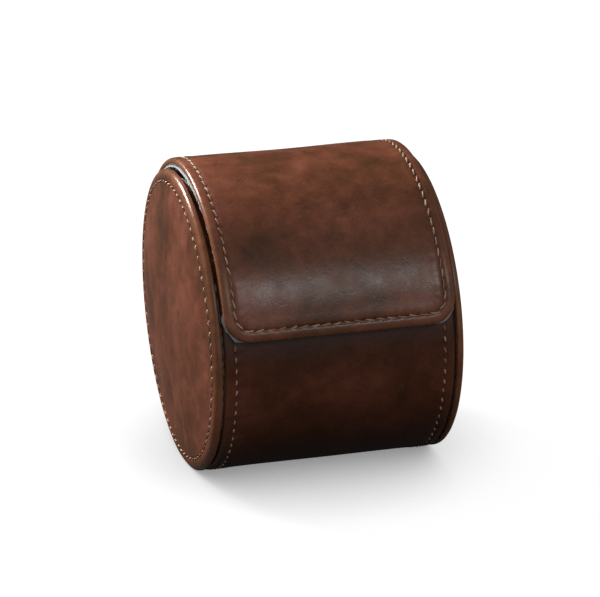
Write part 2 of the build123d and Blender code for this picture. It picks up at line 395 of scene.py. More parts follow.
suede = suede_finish("suede", (0.34, 0.38, 0.40), (0.58, 0.62, 0.63))
cushion_suede = suede_finish("cushion_suede", (0.30, 0.33, 0.35), (0.47, 0.50, 0.52))
print("suede finishes: lining and cushion")

# %% [markdown]
# The thread is waxed polyester, a light sand colour. Each stitch is two plies twisted together.
#
# A painted line of dashes would look flat on the rolled edges, so the stitches are real loops of
# thread, and this finish only adds the twist and a little dirt.

# %% Thread
THREAD_WORN = (0.26, 0.145, 0.08)
THREAD_CLEAN = (0.62, 0.42, 0.28)

yarn = Finish("thread")
spot = yarn.add("TexCoord").outputs["Object"]
dirt = yarn.add("TexNoise", Vector=spot, Scale=260.0, Detail=2.0)
strands = yarn.add("TexNoise", Vector=spot, Scale=3500.0, Detail=2.0)
yarn_colour = yarn.ramp(dirt.outputs["Fac"], (0.35, THREAD_WORN), (0.64, THREAD_CLEAN))
yarn_bump = yarn.add("Bump", Height=strands.outputs["Fac"], Strength=0.5, Distance=0.0001)
yarn_shader = yarn.add("BsdfPrincipled", Base_Color=yarn_colour, Normal=yarn_bump.outputs[0])
yarn_shader.inputs["Roughness"].default_value = 0.5
thread = yarn.done(yarn_shader.outputs[0])
print("thread:", len(yarn.tree.nodes), "nodes")

# %% [markdown]
# Inside the leather there are greyboard, foam and small plated magnets. They hardly ever show, but
# each still gets its own finish, so that nothing looks wrong when a piece is taken off.

# %% Board, foam and steel
card = Finish("greyboard")
card_place = card.add("TexCoord").outputs["Object"]
card_fibres = card.add("TexNoise", Vector=card_place, Scale=900.0, Detail=5.0, Roughness=0.7)
card_colour = card.ramp(card_fibres.outputs["Fac"], (0.35, (0.15, 0.125, 0.10)),
                        (0.65, (0.27, 0.23, 0.19)))
card_bump = card.add("Bump", Height=card_fibres.outputs["Fac"], Strength=0.3, Distance=0.0001)
card_shader = card.add("BsdfPrincipled", Base_Color=card_colour, Normal=card_bump.outputs[0])
card_shader.inputs["Roughness"].default_value = 0.9
greyboard = card.done(card_shader.outputs[0])

sponge = Finish("foam")
sponge_place = sponge.add("TexCoord").outputs["Object"]
cells = sponge.add("TexVoronoi", {"feature": "F1"}, Vector=sponge_place, Scale=1200.0)
sponge_colour = sponge.ramp(cells.outputs["Distance"], (0.1, (0.50, 0.50, 0.48)),
                            (0.7, (0.76, 0.76, 0.74)))
sponge_bump = sponge.add("Bump", Height=cells.outputs["Distance"], Strength=0.6, Distance=0.0003)
sponge_shader = sponge.add("BsdfPrincipled", Base_Color=sponge_colour,
                           Normal=sponge_bump.outputs[0])
sponge_shader.inputs["Roughness"].default_value = 0.95
foam = sponge.done(sponge_shader.outputs[0])

plate = Finish("plated_steel")
plate_place = plate.add("TexCoord").outputs["Object"]
scratches = plate.add("TexNoise", Vector=plate_place, Scale=1500.0, Detail=3.0)
plate_dullness = plate.add("MapRange", Value=scratches.outputs["Fac"], To_Min=0.22,
                           To_Max=0.42).outputs[0]
plate_shader = plate.add("BsdfPrincipled", Roughness=plate_dullness)
plate_shader.inputs["Base Color"].default_value = (0.62, 0.62, 0.64, 1)
plate_shader.inputs["Metallic"].default_value = 1
steel = plate.done(plate_shader.outputs[0])

FINISH_OF = {"leather": leather, "suede": suede, "board": greyboard, "foam": foam,
             "cushion_fabric": cushion_suede, "steel": steel}
for part in frame["record"]["subparts"]:
    node_mesh = frame["nodes"][part["node"]].data
    node_mesh.materials.clear()
    node_mesh.materials.append(FINISH_OF[part["material_slot"]])

# %% [markdown]
# The strip is cut flat and then bent round the roll. So each point of it has three plain numbers:
# how far along the strip, how far across, and how deep under the outer face.
#
# Bending a flat mesh with modifiers would work, but the flap has to lie over the front panel like a
# spiral. A table of the path, one row each tenth of a degree, does both with one lookup.

# %% The strip's path
PANEL_TOP = 142.0
FLAP_TIP = 531.0
CASE_SEAM = 368.0
FLAP_SEAM = 397.0
FLAP_LIFT = 3.1
RISE_FROM, RISE_TO = 372.0, 398.0
PATH_SPARE, PATH_STEP = 6, 0.1

path_turns = np.arange(PANEL_TOP - PATH_SPARE, FLAP_TIP + PATH_SPARE, PATH_STEP)
rise = np.clip((path_turns - RISE_FROM) / (RISE_TO - RISE_FROM), 0, 1)
path_lift = FLAP_LIFT * rise ** 2 * (3 - 2 * rise)
path_y, path_z = oval_point(np.radians(path_turns), path_lift)
path_steps = np.hypot(np.diff(path_y), np.diff(path_z))
path_lengths = np.concatenate([[0], np.cumsum(path_steps)])
slope_y, slope_z = np.gradient(path_y, path_lengths), np.gradient(path_z, path_lengths)


def along(turn):
    """Distance along the strip at one direction from the oval's middle."""
    return float(np.interp(turn, path_turns, path_lengths))


def bend(across, distance, depth):
    """Put flat points of the strip where the bent strip holds them."""
    out_y = np.interp(distance, path_lengths, slope_z)
    out_z = -np.interp(distance, path_lengths, slope_y)
    y = np.interp(distance, path_lengths, path_y) - depth * out_y
    z = np.interp(distance, path_lengths, path_z) - depth * out_z
    return np.stack([across, y, z], axis=-1)


STRIP_ENDS = {"case": (along(CASE_SEAM), along(PANEL_TOP)),
              "hinge": (along(CASE_SEAM), along(FLAP_SEAM)),
              "flap": (along(FLAP_SEAM), along(FLAP_TIP))}
print("strip, cut flat:", round(along(FLAP_TIP) - along(PANEL_TOP), 1), "mm long")

# %% [markdown]
# The strip's free ends have rounded corners, small on the case and large on the flap. Walking a corner
# a little inside the edge means a smaller curve, and further in it shrinks to a sharp turn.
#
# A bevel would round the outline alone. This walk rounds every line inside it as well, so the stitches
# and the turned edge can follow the same corner.

# %% Walking a corner
CORE = 8.5
CORNERS = {"case": 3.0, "hinge": None, "flap": 8.0}


def corner_run(share, inset, corner):
    """Walk one corner at some inset. Gives the way out to the side and the way forward."""
    curve = np.maximum(corner - inset, 0.0)
    straight = CORE - np.maximum(corner, inset)
    arc = curve * math.pi / 2
    run = share * (2 * straight + arc)
    angle = np.clip(run - straight, 0, arc) / np.where(curve > 0, curve, 1.0)
    after = np.clip(run - straight - arc, 0, straight)
    return straight + curve * np.cos(angle) - after, np.minimum(run, straight) + curve * np.sin(angle)


print("corners:", CORNERS, "walked out to", CORE, "mm inside the edge")

# %% [markdown]
# A maker marks the stitch line with a divider, a fixed distance inside the edge, and pricks it at an
# even pitch. The mesh copies that. Its rows follow the edge round the corners, four to a stitch.
#
# A plain grid is simpler, but a rounded corner would cut across its squares and look jagged.

# %% Round the edge
HALF_WIDTH = 34.7
ROW_INSET = 3.25
STITCH_PITCH = 3.3
ROWS_PER_STITCH = 4
HINGE_COLUMNS = 69


class Edge:
    """The stitch row of one stretch of the strip, from seam to seam or round its free end."""

    def __init__(self, name):
        start, end = STRIP_ENDS[name]
        self.start, self.way = start, math.copysign(1, end - start)
        self.corner = CORNERS[name]
        self.length = abs(end - start)
        self.leg, self.turn, self.front = self.length, 0.0, 0.0
        if self.corner is not None:
            self.leg = self.length - CORE
            curve = max(self.corner - ROW_INSET, 0.0)
            self.turn = 2 * (CORE - max(self.corner, ROW_INSET)) + curve * math.pi / 2
            self.front = 2 * (HALF_WIDTH - CORE)
        self.total = 2 * (self.leg + self.turn) + self.front
        self.count = 2 * round(self.total / 2 / STITCH_PITCH)
        self.pitch = self.total / self.count
        self.row = np.linspace(0, self.total, self.count * ROWS_PER_STITCH + 1)

    def flat(self, row, inset, mirrored):
        """Across and along for points at a distance along the row, at some inset."""
        row, inset, mirrored = np.broadcast_arrays(row, inset, mirrored)
        near = np.where(mirrored, self.total - row, row)
        across, forward = HALF_WIDTH - inset, near
        if self.corner is not None:
            share = np.clip((near - self.leg) / self.turn, 0, 1)
            out, on = corner_run(share, inset, self.corner)
            over = np.maximum(near - self.leg - self.turn, 0)
            bends = near > self.leg
            across = np.where(bends, HALF_WIDTH - CORE + out - over, across)
            forward = np.where(bends, self.leg + on, forward)
        return np.where(mirrored, across, -across), self.start + self.way * forward

    def chains(self):
        """Rows of ribs: one chain round a free end, or one at each side."""
        left = self.row[self.row <= self.total / 2 + 1e-6]
        right = self.total - left[::-1]
        if self.corner is None:
            return [(left, np.full(left.shape, False)), (right, np.full(right.shape, True))]
        return [(self.row, self.row > self.total / 2)]

    def legs(self):
        """Rows that the middle grid shares with the left ribs, up to the corner."""
        rows = self.row[self.row < self.leg - 1e-6]
        return np.append(rows, self.leg)

    def columns(self):
        """Columns that the middle grid shares with the ribs along the free end."""
        half = HALF_WIDTH - CORE
        if self.corner is None:
            return np.linspace(-half, half, HINGE_COLUMNS)
        first = self.leg + self.turn
        rows = self.row[(self.row > first + 1e-6) & (self.row < self.total / 2 - 1e-6)]
        left = rows - first - half
        return np.concatenate([[-half], left, [0.0], -left[::-1], [half]])


EDGES = {name: Edge(name) for name in STRIP_ENDS}
for name, edge in EDGES.items():
    print(f"{name}: {edge.length:.1f} mm, {edge.count} stitches at {edge.pitch:.2f} mm")

# %% [markdown]
# Pulling the thread tight sinks the leather at each hole and puffs it up on both sides. The broad
# faces are never quite even, because the board under them was bent by hand.
#
# Both could be painted as bump. Moving the real surface is better: the puckers then catch the light
# on the rolled edge and show in the outline.

# %% Relief of the leather
GROOVE_DEPTH = 0.36
GROOVE_WIDTH = 0.50
BEAD_HEIGHT, BEAD_AT, BEAD_WIDTH = 0.10, 1.9, 0.8
PUFF_HEIGHT, PUFF_AT, PUFF_WIDTH = 0.09, 5.0, 1.3
WAVE_HEIGHT, WAVE_COUNT = 0.11, 7
wave_draw = np.random.default_rng(11)
WAVES = [(wave_draw.uniform(0.04, 0.16), wave_draw.uniform(0.04, 0.16), wave_draw.uniform(0, 6.28))
         for _ in range(WAVE_COUNT)]


def waves(across, distance):
    """Slow unevenness of a large face."""
    total = sum(np.sin(a * across + b * distance + c) for a, b, c in WAVES)
    return WAVE_HEIGHT * total / WAVE_COUNT ** 0.5


def hill(value, middle, width):
    """A smooth hill of height 1."""
    return np.exp(-((value - middle) / width) ** 2)


def pucker(inset, phase):
    """The stitch groove and the puffs beside it. Phase is 0 at a hole and 0.5 between two."""
    pull = np.cos(2 * np.pi * phase)
    groove = -GROOVE_DEPTH * hill(inset, ROW_INSET, GROOVE_WIDTH) * (0.62 + 0.38 * pull)
    bead = BEAD_HEIGHT * hill(inset, BEAD_AT, BEAD_WIDTH)
    puff = PUFF_HEIGHT * hill(inset, PUFF_AT, PUFF_WIDTH) * (1.15 - 0.3 * pull)
    return groove + bead + puff


widest = np.abs(waves(*np.meshgrid(np.arange(-34, 34), np.arange(0, 290)))).max()
print("groove", GROOVE_DEPTH, "mm deep, waves up to", round(float(widest), 2), "mm")

# %% [markdown]
# A mesh is joined from grids of points. Each point also carries two marks that its finish reads: how
# rubbed it is on a rolled edge, which also paints a highlight there, and how much painted shade lies
# there, in the stitch groove and on the front panel.
#
# Painting these by hand on the finished mesh would be lost each time a size changes.

# %% Grids into a mesh


class Patchwork:
    """Grids of points that become one smooth mesh."""

    def __init__(self):
        self.points, self.faces, self.rubbed, self.waxed, self.count = [], [], [], [], 0

    def add(self, points, rubbed, waxed, flip):
        """Add a grid of points in millimetres. A flip turns its faces over, to look outward."""
        rows, columns = points.shape[:2]
        index = self.count + np.arange(rows * columns).reshape(rows, columns)
        corners = [index[:-1, :-1], index[1:, :-1], index[1:, 1:], index[:-1, 1:]]
        faces = np.stack(corners, axis=-1).reshape(-1, 4)
        self.faces.append(faces[:, ::-1] if flip else faces)
        self.points.append(points.reshape(-1, 3))
        for marks, values in ((self.rubbed, rubbed), (self.waxed, waxed)):
            marks.append(np.broadcast_to(values, (rows, columns)).ravel())
        self.count += rows * columns

    def make(self, name):
        """Join the grids where they meet, and make the piece in metres."""
        mesh = bpy.data.meshes.new(name)
        points = np.concatenate(self.points) * MM
        mesh.from_pydata(points.tolist(), [], np.concatenate(self.faces).tolist())
        for mark, values in (("rubbed", self.rubbed), ("waxed", self.waxed)):
            layer = mesh.attributes.new(mark, "FLOAT", "POINT")
            layer.data.foreach_set("value", np.concatenate(values).astype(np.float32))
        form = bmesh.new()
        form.from_mesh(mesh)
        bmesh.ops.remove_doubles(form, verts=form.verts, dist=1e-7)
        for face in form.faces:
            face.smooth = True
        form.to_mesh(mesh)
        form.free()
        piece = bpy.data.objects.new(name, mesh)
        bpy.context.collection.objects.link(piece)
        print(f"{name}: {len(mesh.vertices)} points")
        return piece


# %% [markdown]
# The outer leather is folded round the board's edge and glued back underneath. A rib is the line that
# a cut across that edge would show: along the face, round the roll, and six millimetres back.
#
# A bevel would round the edge evenly. Placing the rib's points one by one gives close points at the stitch
# groove and on the roll, and few on the flat.

# %% A rib across the edge
BODY_THICK = 2.2
ROLL = BODY_THICK / 2
FACE_INSETS = [8.5, 7.4, 6.5, 5.7, 5.0, 4.5, 4.1, 3.8, 3.5, 3.25, 3.0, 2.7, 2.3, 1.9, 1.5, 1.1]
ROLL_TURNS = np.radians(np.arange(15, 180, 15))
UNDER_INSETS = [1.1, 2.2, 4.0, 6.5, 8.5]

rib_inset = np.concatenate([FACE_INSETS, ROLL - ROLL * np.sin(ROLL_TURNS), UNDER_INSETS])
rib_depth = np.concatenate([np.zeros(len(FACE_INSETS)), ROLL - ROLL * np.cos(ROLL_TURNS),
                            np.full(len(UNDER_INSETS), BODY_THICK)])
rib_facing = np.cos(np.clip(rib_depth / ROLL, 0, 1) * np.pi / 2)
print("a rib has", len(rib_inset), "points")

# %% [markdown]
# Hands rub the roll's edges pale, and a painted highlight on the roll is added to that pale colour.
# The stitch groove gets painted shade, darkest at the holes. The front panel, which the flap half
# covers, is darker overall, with painted shadow just under the flap and painted shade low down.
#
# A painter would do this with a brush. Marks worked out from the distance to the edge and along the
# strip come out the same each time, and on every stretch.

# %% Rubbed edges with painted highlight, and painted shade
WORN_HIGHLIGHT_EDGE, WORN_HIGHLIGHT_RIM, RIM_REACH = 0.75, 0.16, 2.5
GROOVE_SHADE, GROOVE_SHADE_WIDTH = 0.6, 0.45
PANEL_SHADE_TURNS = [PANEL_TOP, 174, 190, 200, 222, 240, 265]
PANEL_SHADE_AND_DARK = [0.80, 0.80, 0.40, 0.40, 0.80, 0.80, 0.0]

rib_rubbed = np.clip(hill(rib_inset, 0.0, WORN_HIGHLIGHT_EDGE) + WORN_HIGHLIGHT_RIM * (rib_inset < RIM_REACH), 0, 1)
rib_waxed = GROOVE_SHADE * hill(rib_inset, ROW_INSET, GROOVE_SHADE_WIDTH) * rib_facing


def panel_shade_and_dark(name, distance):
    """Painted shadow under the flap and painted shade low on the front panel, which is also darker overall."""
    if name != "case":
        return 0 * distance
    return np.interp(np.interp(distance, path_lengths, path_turns), PANEL_SHADE_TURNS, PANEL_SHADE_AND_DARK)


def holes(phase):
    """How strong the groove's painted shade is: full at each stitch hole and weaker between two holes."""
    return 0.35 + 0.65 * np.cos(np.pi * phase) ** 6


print("most wax in the groove:", round(float(rib_waxed.max()), 2), "and on the panel:", max(PANEL_SHADE_AND_DARK))

# %% [markdown]
# A grid of ribs goes round the edge and a plain grid fills the face between them. The strip is three
# stretches, which meet at two seams on the back.
#
# One mesh could cover all of it, but the flap and the case move apart, and only the short stretch
# between them bends.

# %% The strip's outer leather


def on_floor(points, least=0.0):
    """Press points that would sink into the floor flat against it."""
    points[..., 2] = np.maximum(points[..., 2], least)
    return points


def strip_leather(name):
    """The outer leather of one stretch of the strip."""
    edge, patches = EDGES[name], Patchwork()
    for rows, mirrored in edge.chains():
        across, distance = edge.flat(rows[:, None], rib_inset[None, :], mirrored[:, None])
        inward = np.clip(rib_inset / CORE, 0, 1) ** 2
        height = pucker(rib_inset, rows[:, None] / edge.pitch) + inward * waves(across, distance)
        points = on_floor(bend(across, distance, rib_depth - height * rib_facing))
        # Painted shade in the groove, and on the front panel painted shadow and shade.
        waxed_rows = np.maximum(rib_waxed * holes(rows[:, None] / edge.pitch), panel_shade_and_dark(name, distance))
        patches.add(points, rib_rubbed, waxed_rows, edge.way > 0)
    across, rows = np.meshgrid(edge.columns(), edge.legs())
    distance = edge.start + edge.way * rows
    height = pucker(CORE, 0) + waves(across, distance)
    patches.add(on_floor(bend(across, distance, -height)), 0, panel_shade_and_dark(name, distance), edge.way < 0)
    piece = patches.make(f"{name}_strip_leather")
    piece.data.materials.append(leather)
    return piece


strip_leathers = {name: strip_leather(name) for name in EDGES}

# %% [markdown]
# The suede lining's edge is left raw. On top it is cut flush, so a pale fuzzy line shows under the
# turned edge, and down the front it is tucked under. At the flap's corners it was trimmed by eye and
# spills out. It is a separate layer here too, six tenths of a millimetre thick. The flap's board is
# made the same way, so that it keeps inside the leather where the flap rises off the back.
#
# A pale stripe painted on the leather would vanish when the flap opens. The real layer also gives
# the inside of the roll its own face.

# %% The strip's suede lining and board
LINING_THICK = 0.6
FRAY = 0.12
CORNER_SPILL, SPILL_REACH, SPILL_FRAY = 1.35, 4.5, 1.2
MOST_SPILL = 0.9
TUCK, TUCK_FROM, TUCK_FULL = 0.70, 455.0, 475.0
lining_inset = np.array([8.5, 2.5, 0.5, 0.0, -0.04, -0.02, 0.06, 0.6, 1.6, 3.0, 5.4, 8.5])
lining_depth = np.array([0.0, 0.0, 0.0, 0.03, 0.20, 0.42, 0.56] + [LINING_THICK] * 5) + BODY_THICK
lining_frays = hill(lining_inset, -0.04, 0.15)
board_inset = np.array([8.5, 3.0, 1.6, 1.45, 1.45, 1.6, 3.0, 8.5])
board_depth = np.array([1.05, 1.05, 1.05, 1.15, 2.0, 2.1, 2.1, 2.1])
fray_draw = np.random.default_rng(5)


def strip_layer(name, kind, insets, depths, frays, finish):
    """A closed layer under the leather of one stretch of the strip."""
    edge, patches = EDGES[name], Patchwork()
    for rows, mirrored in edge.chains():
        near = np.where(mirrored, edge.total - rows, rows)
        spill = hill(near, edge.leg + edge.turn / 2, SPILL_REACH)
        tuck = TUCK * np.interp(edge.start + near, [along(TUCK_FROM), along(TUCK_FULL)], [0, 1])
        fray = fray_draw.normal(0, FRAY, rows.shape) * (1 + SPILL_FRAY * spill)
        fray = fray + (CORNER_SPILL * spill - tuck) * (name == "flap")
        inset = np.clip(insets - fray[:, None] * frays, -MOST_SPILL, CORE)
        across, distance = edge.flat(rows[:, None], inset, mirrored[:, None])
        height = np.clip(insets / CORE, 0, 1) ** 2 * waves(across, distance)
        patches.add(bend(across, distance, depths - height), 0, 0, edge.way > 0)
    across, rows = np.meshgrid(edge.columns(), edge.legs())
    distance = edge.start + edge.way * rows
    for depth, flip in ((depths[0], edge.way < 0), (depths[-1], edge.way > 0)):
        patches.add(bend(across, distance, depth - waves(across, distance)), 0, 0, flip)
    piece = patches.make(f"{name}_strip_{kind}")
    piece.data.materials.append(finish)
    return piece


strip_linings = {name: strip_layer(name, "lining", lining_inset, lining_depth, lining_frays, suede) for name in EDGES}
flap_board = strip_layer("flap", "board", board_inset, board_depth, 0 * board_inset, greyboard)

# %% [markdown]
# Each stitch comes up out of one hole, lies in the groove at a slight slant, and goes down the next.
# The thread is half a millimetre thick. On the case and the discs it was pulled tighter, so that
# little more than its middle shows. No two stitches are quite alike.
#
# A curve with a bevel could follow the whole row, but the thread must vanish in every hole. So each
# stitch is a short bent tube of its own, and a row of them is one mesh.

# %% The shape of a stitch
THREAD_RADIUS = 0.25
STITCH_SIDES = 8
stitch_share = np.linspace(-1, 1, 9)
stitch_radius = THREAD_RADIUS * (1 - 0.25 * stitch_share ** 6)


def tubes(name, centres, upward):
    """Round tubes along many short lines. Centres is stitches x points x 3, in millimetres."""
    ahead = np.gradient(centres, axis=1)
    ahead /= np.linalg.norm(ahead, axis=2, keepdims=True)
    sideways = np.cross(upward, ahead)
    sideways /= np.linalg.norm(sideways, axis=2, keepdims=True)
    lift = np.cross(ahead, sideways)
    turns = np.linspace(0, 2 * np.pi, STITCH_SIDES, endpoint=False)
    radius = stitch_radius[None, :, None, None]
    around = np.cos(turns)[:, None] * sideways[:, :, None] + np.sin(turns)[:, None] * lift[:, :, None]
    points = (centres[:, :, None] + radius * around).reshape(-1, 3)
    stitches, rings = centres.shape[:2]
    index = np.arange(stitches * rings * STITCH_SIDES).reshape(stitches, rings, STITCH_SIDES)
    beside = np.roll(index, -1, axis=2)
    faces = np.stack([index[:, :-1], beside[:, :-1], beside[:, 1:], index[:, 1:]], axis=-1)
    faces = faces.reshape(-1, 4).tolist()
    faces += index[:, 0, ::-1].tolist() + index[:, -1].tolist()
    mesh = bpy.data.meshes.new(name)
    mesh.from_pydata((points * MM).tolist(), [], faces)
    mesh.shade_smooth()
    mesh.materials.append(thread)
    piece = bpy.data.objects.new(name, mesh)
    bpy.context.collection.objects.link(piece)
    print(f"{name}: {stitches} stitches")
    return piece


print("a stitch has", len(stitch_share) * STITCH_SIDES, "points and is", 2 * THREAD_RADIUS, "mm thick")

# %% [markdown]
# The rows of stitches run along both sides of the strip and round the flap's free end. The flap's are
# looser and stand out, and the case's are sunk into their groove.
#
# One stitch could be copied along the row, but a row sewn by hand is never that even. So each stitch
# gets its own small error in place, slant and height.

# %% The strip's stitches
STITCH_HALF = 1.30
STITCH_SLANT = 0.27
stitch_height = 0.07 - 0.50 * stitch_share ** 4
tight_height = 0.02 - 1.50 * stitch_share ** 2
hand = np.random.default_rng(23)


def uneven(count, error):
    """A small difference for each stitch."""
    return hand.normal(0, error, count)[:, None]


def strip_stitches(name):
    """The stitches of one stretch of the strip."""
    edge = EDGES[name]
    middles = (np.arange(edge.count) + 0.5) * edge.pitch
    mirrored = (middles > edge.total / 2)[:, None]
    rows = middles[:, None] + uneven(edge.count, 0.06) + STITCH_HALF * stitch_share
    slant = np.where(mirrored, -1, 1) * STITCH_SLANT * stitch_share * (1 + uneven(edge.count, 0.3))
    across, distance = edge.flat(rows, ROW_INSET + slant + uneven(edge.count, 0.04), mirrored)
    height = tight_height if name == "case" else stitch_height
    lifted = bend(across, distance, -height - uneven(edge.count, 0.03))
    upward = lifted - bend(across, distance, 1.0)
    return tubes(f"{name}_strip_stitches", on_floor(lifted, THREAD_RADIUS), upward)


strip_threads = {name: strip_stitches(name) for name in EDGES}

# %% [markdown]
# Padded leather and a stuffed cover don't keep the shape they are cut to. The stitches hold them down
# in some places, and the foam pushes them out everywhere else.
#
# Such swellings can be sculpted, but they look alike. Here a coarse net of points is run as cloth
# with pressure behind it, and the piece takes its shape from the net. A cap limits how far a point
# may move, so the cloth never leaves its room.

# %% Letting cloth settle
SETTLE_FRAMES = 20


def settle(points, faces, held, pressure, slack, cap):
    """Puff up a net as cloth, in millimetres. Held points stay where they are."""
    mesh = bpy.data.meshes.new("net")
    mesh.from_pydata((points * MM).tolist(), [], faces)
    net = bpy.data.objects.new("net", mesh)
    bpy.context.collection.objects.link(net)
    net.vertex_groups.new(name="held").add([int(i) for i in held], 1.0, "REPLACE")
    cloth = net.modifiers.new("cloth", "CLOTH")
    cloth.settings.vertex_group_mass = "held"
    cloth.settings.use_pressure = True
    cloth.settings.uniform_pressure_force = pressure
    cloth.settings.shrink_min = -slack
    cloth.settings.effector_weights.gravity = 0
    cloth.settings.quality = 8
    cloth.point_cache.frame_start, cloth.point_cache.frame_end = 1, SETTLE_FRAMES
    for number in range(1, SETTLE_FRAMES + 1):
        bpy.context.scene.frame_set(number)
    moved = np.empty(len(points) * 3, dtype=np.float32)
    done = net.evaluated_get(bpy.context.evaluated_depsgraph_get())
    done.data.vertices.foreach_get("co", moved)
    bpy.data.objects.remove(net)
    bpy.data.meshes.remove(mesh)
    bpy.context.scene.frame_set(1)
    change = moved.reshape(-1, 3) / MM - points
    length = np.linalg.norm(change, axis=1, keepdims=True)
    print(f"settled {len(points)} points, which moved up to {length.max():.2f} mm")
    return points + change * np.minimum(1, cap / np.maximum(length, 1e-6))


# %% [markdown]
# Each end is closed by a padded disc: leather drawn over foam and a board, with a stitched ring just
# inside its rounded rim. The rim is plump, and the face swells a little towards the middle.
#
# A squashed sphere would have the outline but no rim. Rings that follow the oval, close together at
# the rim and wide apart in the middle, give the stitch ring its own rows.

# %% The form of a disc
SIDES = {"left": -1, "right": 1}
COVER_BACK = 35.3
RIM_HEIGHT = 2.2
DOME_HEIGHT = 1.7
DISC_ROW = 3.5
RIM_IN, RIM_UP, RIM_START = 2.4, 1.42, 0.9

disc_table = np.linspace(0, 2 * np.pi, 3601)
table_reach = oval_reach(disc_table, -DISC_ROW)
table_steps = np.hypot(np.diff(table_reach * np.cos(disc_table)),
                       np.diff(table_reach * np.sin(disc_table)))
disc_lengths = np.concatenate([[0], np.cumsum(table_steps)])
DISC_COUNT = round(disc_lengths[-1] / STITCH_PITCH)
DISC_PITCH = disc_lengths[-1] / DISC_COUNT
disc_rows = np.arange(DISC_COUNT * ROWS_PER_STITCH + 1) * DISC_PITCH / ROWS_PER_STITCH


def disc_face(reach, turn):
    """Height of the domed face over the cover's back."""
    return RIM_HEIGHT + DOME_HEIGHT * (1 - (reach / oval_reach(turn, 0)) ** 2)


def disc_points(reach, turn, height, side):
    """Points of a disc in millimetres. Side is -1 at the left end and 1 at the right."""
    z = rest_on(CENTRE_Z + reach * np.sin(turn), 0)
    return np.stack([side * (COVER_BACK + height), reach * np.cos(turn), z], axis=-1)


rim_turns = np.radians(np.arange(12, 91, 13))
rim_inset = np.concatenate([[2.2, 0.6, 0.2, 0.0, 0.0], RIM_IN * (1 - np.cos(rim_turns))])
rim_height = np.concatenate([[0.0, 0.0, 0.12, 0.4, 0.8], RIM_START + RIM_UP * np.sin(rim_turns)])
face_inset = np.array([2.75, 3.0, 3.25, 3.5, 3.75, 4.0, 4.3, 4.7, 5.2, 5.8, 6.6, 7.6, 9.0])
face_share = np.linspace(1, 0, 22)[1:]
print("each disc has", DISC_COUNT, "stitches at", round(float(DISC_PITCH), 2), "mm")

# %% [markdown]
# Inside the stitched ring the leather is drawn over foam. The ring is pulled down at each hole, and the
# foam pushes the face out, so it swells unevenly.
#
# The rings of the disc are too long and thin to run as cloth. So a net of even triangles settles in
# their place, and they take their height from the net's points near by.

# %% The net of a disc
NET_STEP_Y, NET_STEP_Z, NET_CLEAR = 2.2, 1.9, 1.5
NET_HOLE, NET_BETWEEN = 0.36, 0.12
NET_NOISE = 0.03
NET_REACH = 2.0


def face_net(seed):
    """Where points of a disc's face settle: depth, height, and how far each lies over the plain dome."""
    ring_turn = np.interp(np.arange(2 * DISC_COUNT) * DISC_PITCH / 2, disc_lengths, disc_table)
    ring_reach = oval_reach(ring_turn, -DISC_ROW)
    y, z = np.meshgrid(np.arange(-44, 44, NET_STEP_Y), np.arange(-44, 44, NET_STEP_Z))
    y = (y + (np.arange(len(z)) % 2)[:, None] * NET_STEP_Y / 2).ravel()
    z = z.ravel()
    inside = np.hypot(y, z) < oval_reach(np.arctan2(z, y), -DISC_ROW - NET_CLEAR)
    y = np.concatenate([ring_reach * np.cos(ring_turn), y[inside]])
    z = np.concatenate([ring_reach * np.sin(ring_turn), z[inside]])
    plain = disc_face(np.hypot(y, z), np.arctan2(z, y))
    ring = len(ring_turn)
    start = plain + np.random.default_rng(seed).normal(0, NET_NOISE, len(y))
    start[:ring] = plain[:ring] - np.where(np.arange(ring) % 2, NET_BETWEEN, NET_HOLE)
    flat = [Vector((a, b)) for a, b in zip(y, z)]
    faces = delaunay_2d_cdt(flat, [], [], 0, 1e-5)[2]
    points = settle(np.stack([start, y, z], axis=-1), faces, range(ring), pressure=3.0, slack=0.002,
                    cap=1.2)
    return points[:, 1], points[:, 2], points[:, 0] - plain


def over_dome(net, y, z):
    """The settled height over the plain dome, as a smooth mean of the net's points near by."""
    away = (y.ravel()[:, None] - net[0]) ** 2 + (z.ravel()[:, None] - net[1]) ** 2
    weight = np.exp(-away / NET_REACH ** 2)
    return ((weight @ net[2]) / weight.sum(axis=1)).reshape(y.shape)


disc_nets = {name: face_net(31 + side) for name, side in SIDES.items()}
for name, (_, _, over) in disc_nets.items():
    print(f"{name} net: {len(over)} points, up to {over.max():.2f} mm over the plain dome")

# %% [markdown]
# The cover is one piece of leather: up the edge, round the rim, through the stitch groove and over the
# face. The strip's pucker runs round its groove too, and fades into the settled face.
#
# One set of rings at even distances from the edge would bunch up in the middle, because an oval isn't
# round. So the outer rings keep their distance from the edge, and the inner ones shrink to the middle.

# %% The disc covers
WORN_HIGHLIGHT_AT, WORN_HIGHLIGHT_WIDTH = 0.6, 0.9
SETTLED_WITHIN = 3.0
WAVES_FROM = 90


